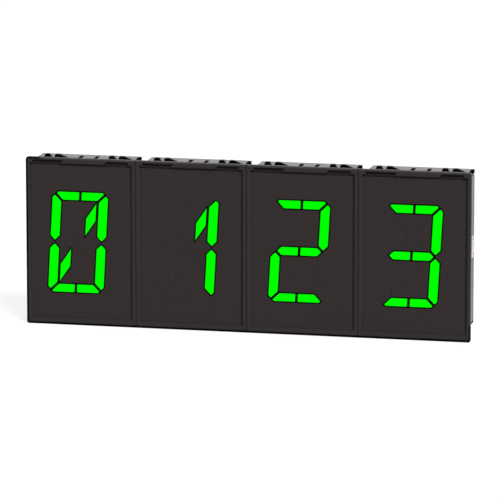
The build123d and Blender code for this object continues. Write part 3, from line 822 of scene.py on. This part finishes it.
def lengthen_slots(rims, middle):
    """Widen both slots and move their front ends forward."""
    front = min(vertex.co.y for vertex in rims)
    for vertex in rims:
        offset = vertex.co.x - middle
        widen = SLOT_WIDEN if abs(offset) > SLOT_MIDDLE else -SLOT_WIDEN
        vertex.co.x += math.copysign(1.0, offset) * widen
        if abs(vertex.co.y - front) < WELD:
            vertex.co.y -= SLOT_MORE


def blunt_catches(vertices, middle, rail_top):
    """Lengthen the flat top of each catch and the foot of the long ones."""
    for vertex in vertices:
        for pair_x in (middle - PAIR_X, middle + PAIR_X):
            along = vertex.co.x - (pair_x - PAIR_SIZE / 2)
            if not -WELD < along < PAIR_SIZE + WELD:
                continue
            in_catch = along if along < SHORT_CATCH + WELD else along - LONG_CATCH_START
            if vertex.co.z > rail_top + MM and in_catch > SHORT_CATCH / 2 - WELD:
                vertex.co.x += CATCH_BLUNT
            elif abs(vertex.co.z - rail_top) < WELD and abs(along - PAIR_SIZE) < WELD:
                vertex.co.x += LONG_CATCH_MORE
            break


def shape_rail(work, number):
    """Lift the rail, blunt the catches and lengthen the slots of one case copy."""
    cover_low, cover_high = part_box(f"rear_cover_{number}")
    middle = (cover_low.x + cover_high.x) / 2
    rail_top = cover_high.z + RAIL_RISE
    outline = open_rail_top(work, rail_top)
    above = [vertex for vertex in work.verts if vertex.co.z > cover_high.z - MM]
    rims = [vertex for vertex in above if abs(vertex.co.x - middle) < SLOT_REACH]
    lengthen_slots(rims, middle)
    blunt_catches(above, middle, rail_top)
    for vertex in above:
        if abs(vertex.co.z - rail_top) < WELD:
            vertex.co.z += RAIL_LIFT
    bmesh.ops.triangle_fill(work, edges=outline, use_beauty=True, normal=AXIS_Z)
    loose = [edge for edge in work.edges if not edge.link_faces]
    bmesh.ops.delete(work, geom=loose, context="EDGES")


def case_piece(number):
    """One module's case with its rail shaped and painted shade on its dark parts."""
    node = f"case_body_{number}"
    work = merged_mesh(node)
    shape_rail(work, number)
    cut_across(work, FRONT_JOINT * AXIS_Y, AXIS_Y)
    cut_across(work, (COVER_FRONT - REAR_JOINT) * AXIS_Y, AXIS_Y)
    cut_across(work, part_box(f"rear_cover_{number}")[0] + WALL_LINE * AXIS_Z, AXIS_Z)
    paint(work, case_chooser(number))
    return add_piece(f"case_{number}", work, [CASE_BLACK, EDGE_SHADE_BLACK], [node])


def cover_piece(number):
    """Rear cover of one module with painted shade on its cut corners and the foot of its sides.
    """
    node = f"rear_cover_{number}"
    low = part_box(node)[0]
    work = merged_mesh(node)
    cut_across(work, low + WALL_LINE * AXIS_Z, AXIS_Z)

    def choose(centre, normal):
        """Finish of any face of the cover."""
        # Painted shade on the cut corners and the foot of the sides.
        return PAINTED_SHADE_FINISH if is_foot(centre, normal, low.z) else GLOSS_FINISH

    paint(work, choose)
    return add_piece(f"cover_{number}", work, [COVER_BLACK, EDGE_SHADE_BLACK], [node])


for number in MODULES:
    for piece in (case_piece(number), cover_piece(number)):
        round_edges(piece)
        print(piece.name, len(piece.data.polygons), "faces")

# %% [markdown]
# The light bars
#
# A lit bar is a clear block whose sides and a thin rim of its front are painted black, as
# painted shade where its backlight does not reach. The front face is inset by the rim's
# width, and only the inner face glows. Its corners are rounded a little, as light through
# a moulded bar is. A thin black line of painted shade lies on the plate round each lit bar
# only, which gives the crisp outline in the photograph.
# %% Glowing fronts and painted shade outlines
RIM = 0.45 * MM
GLOW_CORNER = 0.4 * MM
CORNER_SEGMENTS = 3
ROUND_PROFILE = 0.5
SHADE_OUTLINE_WIDTH = 0.3 * MM
SHADE_OUTLINE_LIFT = 0.01 * MM
GLOW_FINISH, RIM_SHADE_FINISH = range(2)


def faces_front(face):
    """Whether a face looks straight forward."""
    return face.normal.y < -STRAIGHT


def lit_piece(number):
    """Lit bars of one module, with a rim of painted shade round each glowing face."""
    node = f"lit_bars_{number}"
    work = merged_mesh(node)
    # Painted shade: the sides and rim of each lit bar stay near black.
    paint(work, lambda centre, normal: RIM_SHADE_FINISH)
    fronts = [face for face in work.faces if faces_front(face)]
    bmesh.ops.inset_individual(work, faces=fronts, thickness=RIM, use_even_offset=True)
    for face in fronts:
        face.material_index = GLOW_FINISH
    rounded = bmesh.ops.bevel(
        work,
        geom=[vertex for face in fronts for vertex in face.verts],
        offset=GLOW_CORNER,
        segments=CORNER_SEGMENTS,
        profile=ROUND_PROFILE,
        affect="VERTICES",
    )
    for face in rounded["faces"]:
        face.material_index = RIM_SHADE_FINISH
    return add_piece(f"glow_{number}", work, [GREEN_LIGHT, BAR_RIM_SHADE], [node])


def outward(points, normal, amount):
    """Corners of a closed outline, moved outwards so that each edge moves by the amount."""
    moved = []
    for before, here, after in zip(points[-1:] + points[:-1], points, points[1:] + points[:1]):
        first = (here - before).normalized().cross(normal)
        second = (after - here).normalized().cross(normal)
        moved.append(here + (first + second) * (amount / (1 + first.dot(second))))
    return moved


def painted_shade_outline(number):
    """Thin black line of painted shade on the plate round each lit bar."""
    bars = merged_mesh(f"lit_bars_{number}")
    plate_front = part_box(f"face_plate_{number}")[0].y
    work = bmesh.new()
    for face in filter(faces_front, bars.faces):
        inner = [vertex.co.copy() for vertex in face.verts]
        outer = outward(inner, face.normal, SHADE_OUTLINE_WIDTH)
        near, far = [[work.verts.new(point) for point in ring] for ring in (inner, outer)]
        for here in range(len(near)):
            after = (here + 1) % len(near)
            work.faces.new([near[here], far[here], far[after], near[after]])
    bars.free()
    for vertex in work.verts:
        vertex.co.y = plate_front - SHADE_OUTLINE_LIFT
    bmesh.ops.recalc_face_normals(work, faces=work.faces)
    # Painted shade: the outline is near black and lies round lit bars only.
    return add_piece(f"painted_shade_outline_{number}", work, [BAR_RIM_SHADE])


for number in MODULES:
    piece = lit_piece(number)
    line = painted_shade_outline(number)
    print(piece.name, len(piece.data.polygons), "faces,", line.name, len(line.data.polygons))

# %% [markdown]
# Repeated small metal parts
#
# The socket tongues carry a row of gold contacts on both faces, and the terminal strip
# has a row of clamps, each a plate under a cross-headed screw. Both are rows of one small
# part, so each is a Geometry Nodes tree with named inputs. The result is turned into a
# plain mesh before it joins the display.
# %% Geometry Nodes helpers


def new_nodes(name, inputs):
    """Geometry Nodes tree with named inputs, given as name to kind and value."""
    tree = bpy.data.node_groups.new(name, "GeometryNodeTree")
    add_sockets(tree, inputs, {"Geometry": "NodeSocketGeometry"})
    source = tree.nodes.new("NodeGroupInput").outputs
    sink = tree.nodes.new("NodeGroupOutput").inputs["Geometry"]
    return tree, source, sink


def row_of(tree, source, part, sink):
    """Instances of a part along a line, made real and given a material."""
    line = tree.nodes.new("GeometryNodeMeshLine")
    link(tree, source["Count"], line.inputs["Count"])
    link(tree, source["Start"], line.inputs["Start Location"])
    link(tree, source["Step"], line.inputs["Offset"])
    instances = tree.nodes.new("GeometryNodeInstanceOnPoints")
    link(tree, line.outputs["Mesh"], instances.inputs["Points"])
    link(tree, part, instances.inputs["Instance"])
    real = tree.nodes.new("GeometryNodeRealizeInstances")
    link(tree, instances.outputs["Instances"], real.inputs["Geometry"])
    finish = tree.nodes.new("GeometryNodeSetMaterial")
    link(tree, real.outputs["Geometry"], finish.inputs["Geometry"])
    link(tree, source["Material"], finish.inputs["Material"])
    link(tree, finish.outputs["Geometry"], sink)


ROW_INPUTS = {
    "Count": ("NodeSocketInt", 1),
    "Start": ("NodeSocketVector", (0.0, 0.0, 0.0)),
    "Step": ("NodeSocketVector", (0.0, 0.0, 0.001)),
    "Material": ("NodeSocketMaterial", None),
}


def grown_piece(name, tree, values, nodes=()):
    """Plain mesh object grown by a Geometry Nodes tree with the given input values."""
    holder = bpy.data.objects.new(name + "_holder", bpy.data.meshes.new(name + "_holder"))
    bpy.context.scene.collection.objects.link(holder)
    modifier = holder.modifiers.new("grow", "NODES")
    modifier.node_group = tree
    sockets = {item.name: item.identifier for item in tree.interface.items_tree}
    for label, value in values.items():
        modifier[sockets[label]] = value
    graph = bpy.context.evaluated_depsgraph_get()
    mesh = bpy.data.meshes.new_from_object(holder.evaluated_get(graph), depsgraph=graph)
    bpy.data.objects.remove(holder)
    mesh.name = name
    return join_display(name, mesh, nodes)


# %% [markdown]
# Gold contacts
#
# A contact is a thin strip that lies on the tongue inside a socket. Its place follows
# from the socket's box in the frame.
# %% Contacts in the sockets
CONTACT_COUNT = 5
CONTACT_STEP = 1.6 * MM
CONTACT_SIZE = Vector((4.0, 0.08, 0.7)) * MM
TONGUE_THICK = 1.0 * MM
TONGUE_INSET = 1.0 * MM


def contact_tree():
    """Row of flat strips."""
    inputs = {**ROW_INPUTS, "Size": ("NodeSocketVector", (0.001, 0.001, 0.001))}
    tree, source, sink = new_nodes("contact_row", inputs)
    strip = tree.nodes.new("GeometryNodeMeshCube")
    link(tree, source["Size"], strip.inputs["Size"])
    row_of(tree, source, strip.outputs["Mesh"], sink)
    return tree


def contacts(tree, number):
    """Contacts on both faces of both tongues of one module."""
    low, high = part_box(f"link_sockets_{number}")
    middle = (low + high) / 2
    first_z = middle.z - (CONTACT_COUNT - 1) / 2 * CONTACT_STEP
    offset_y = (TONGUE_THICK + CONTACT_SIZE.y) / 2
    inset = TONGUE_INSET + CONTACT_SIZE.x / 2
    for side, x in (("left", low.x + inset), ("right", high.x - inset)):
        for face, y in (("front", middle.y - offset_y), ("back", middle.y + offset_y)):
            values = {
                "Count": CONTACT_COUNT,
                "Start": (x, y, first_z),
                "Step": (0.0, 0.0, CONTACT_STEP),
                "Size": tuple(CONTACT_SIZE),
                "Material": CONTACT_GOLD,
            }
            grown_piece(f"contacts_{side}_{face}_{number}", tree, values)


CONTACT_TREE = contact_tree()
for number in MODULES:
    contacts(CONTACT_TREE, number)
print("contacts on", 2 * len(MODULES), "tongues")

# %% [markdown]
# Terminal clamps
#
# Each clamp is a square plate with a round screw head on it, and the head has a real
# cross cut into it by a Boolean. The row takes its pitch and place from the box of the
# plain clamps that it stands in for.
# %% Terminal clamps with cross-headed screws
CLAMP_COUNT = 6
CLAMP_PLATE = Vector((5.0, 0.8, 9.0)) * MM
HEAD_RADIUS = 1.9 * MM
HEAD_HEIGHT = 1.4 * MM
HEAD_SIDES = 40
CROSS_LENGTH = 2.6 * MM
CROSS_WIDTH = 0.5 * MM
CROSS_DEPTH = 0.8 * MM


def moved(tree, geometry, y, turn=(0.0, 0.0, 0.0)):
    """Geometry moved along Y and turned."""
    node = tree.nodes.new("GeometryNodeTransform")
    link(tree, geometry, node.inputs["Geometry"])
    node.inputs["Translation"].default_value = (0.0, y, 0.0)
    node.inputs["Rotation"].default_value = turn
    return node.outputs["Geometry"]


def clamp_tree():
    """Row of plates, each with a cross-headed screw."""
    tree, source, sink = new_nodes("clamp_row", ROW_INPUTS)
    plate = tree.nodes.new("GeometryNodeMeshCube")
    plate.inputs["Size"].default_value = CLAMP_PLATE
    head = tree.nodes.new("GeometryNodeMeshCylinder")
    head.inputs["Vertices"].default_value = HEAD_SIDES
    head.inputs["Radius"].default_value = HEAD_RADIUS
    head.inputs["Depth"].default_value = HEAD_HEIGHT
    plate_top = CLAMP_PLATE.y / 2
    head_middle = plate_top + HEAD_HEIGHT / 2
    upright_head = moved(tree, head.outputs["Mesh"], head_middle, (QUARTER_TURN, 0.0, 0.0))
    cut = tree.nodes.new("GeometryNodeMeshBoolean")
    cut.operation = "DIFFERENCE"
    link(tree, upright_head, cut.inputs["Mesh 1"])
    head_top = plate_top + HEAD_HEIGHT
    for width, height in ((CROSS_LENGTH, CROSS_WIDTH), (CROSS_WIDTH, CROSS_LENGTH)):
        bar = tree.nodes.new("GeometryNodeMeshCube")
        bar.inputs["Size"].default_value = (width, 2 * CROSS_DEPTH, height)
        link(tree, moved(tree, bar.outputs["Mesh"], head_top), cut.inputs["Mesh 2"])
    both = tree.nodes.new("GeometryNodeJoinGeometry")
    link(tree, plate.outputs["Mesh"], both.inputs["Geometry"])
    link(tree, cut.outputs["Mesh"], both.inputs["Geometry"])
    row_of(tree, source, both.outputs["Geometry"], sink)
    return tree


def clamps():
    """Terminal clamps in place of the plain ones."""
    low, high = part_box("terminal_screws")
    pitch = (high.x - low.x - CLAMP_PLATE.x) / (CLAMP_COUNT - 1)
    start = (low.x + CLAMP_PLATE.x / 2, low.y + CLAMP_PLATE.y / 2, (low.z + high.z) / 2)
    values = {
        "Count": CLAMP_COUNT,
        "Start": start,
        "Step": (pitch, 0.0, 0.0),
        "Material": SCREW_STEEL,
    }
    return grown_piece("clamps", clamp_tree(), values, ["terminal_screws"])


print("clamps", len(clamps().data.polygons), "faces")
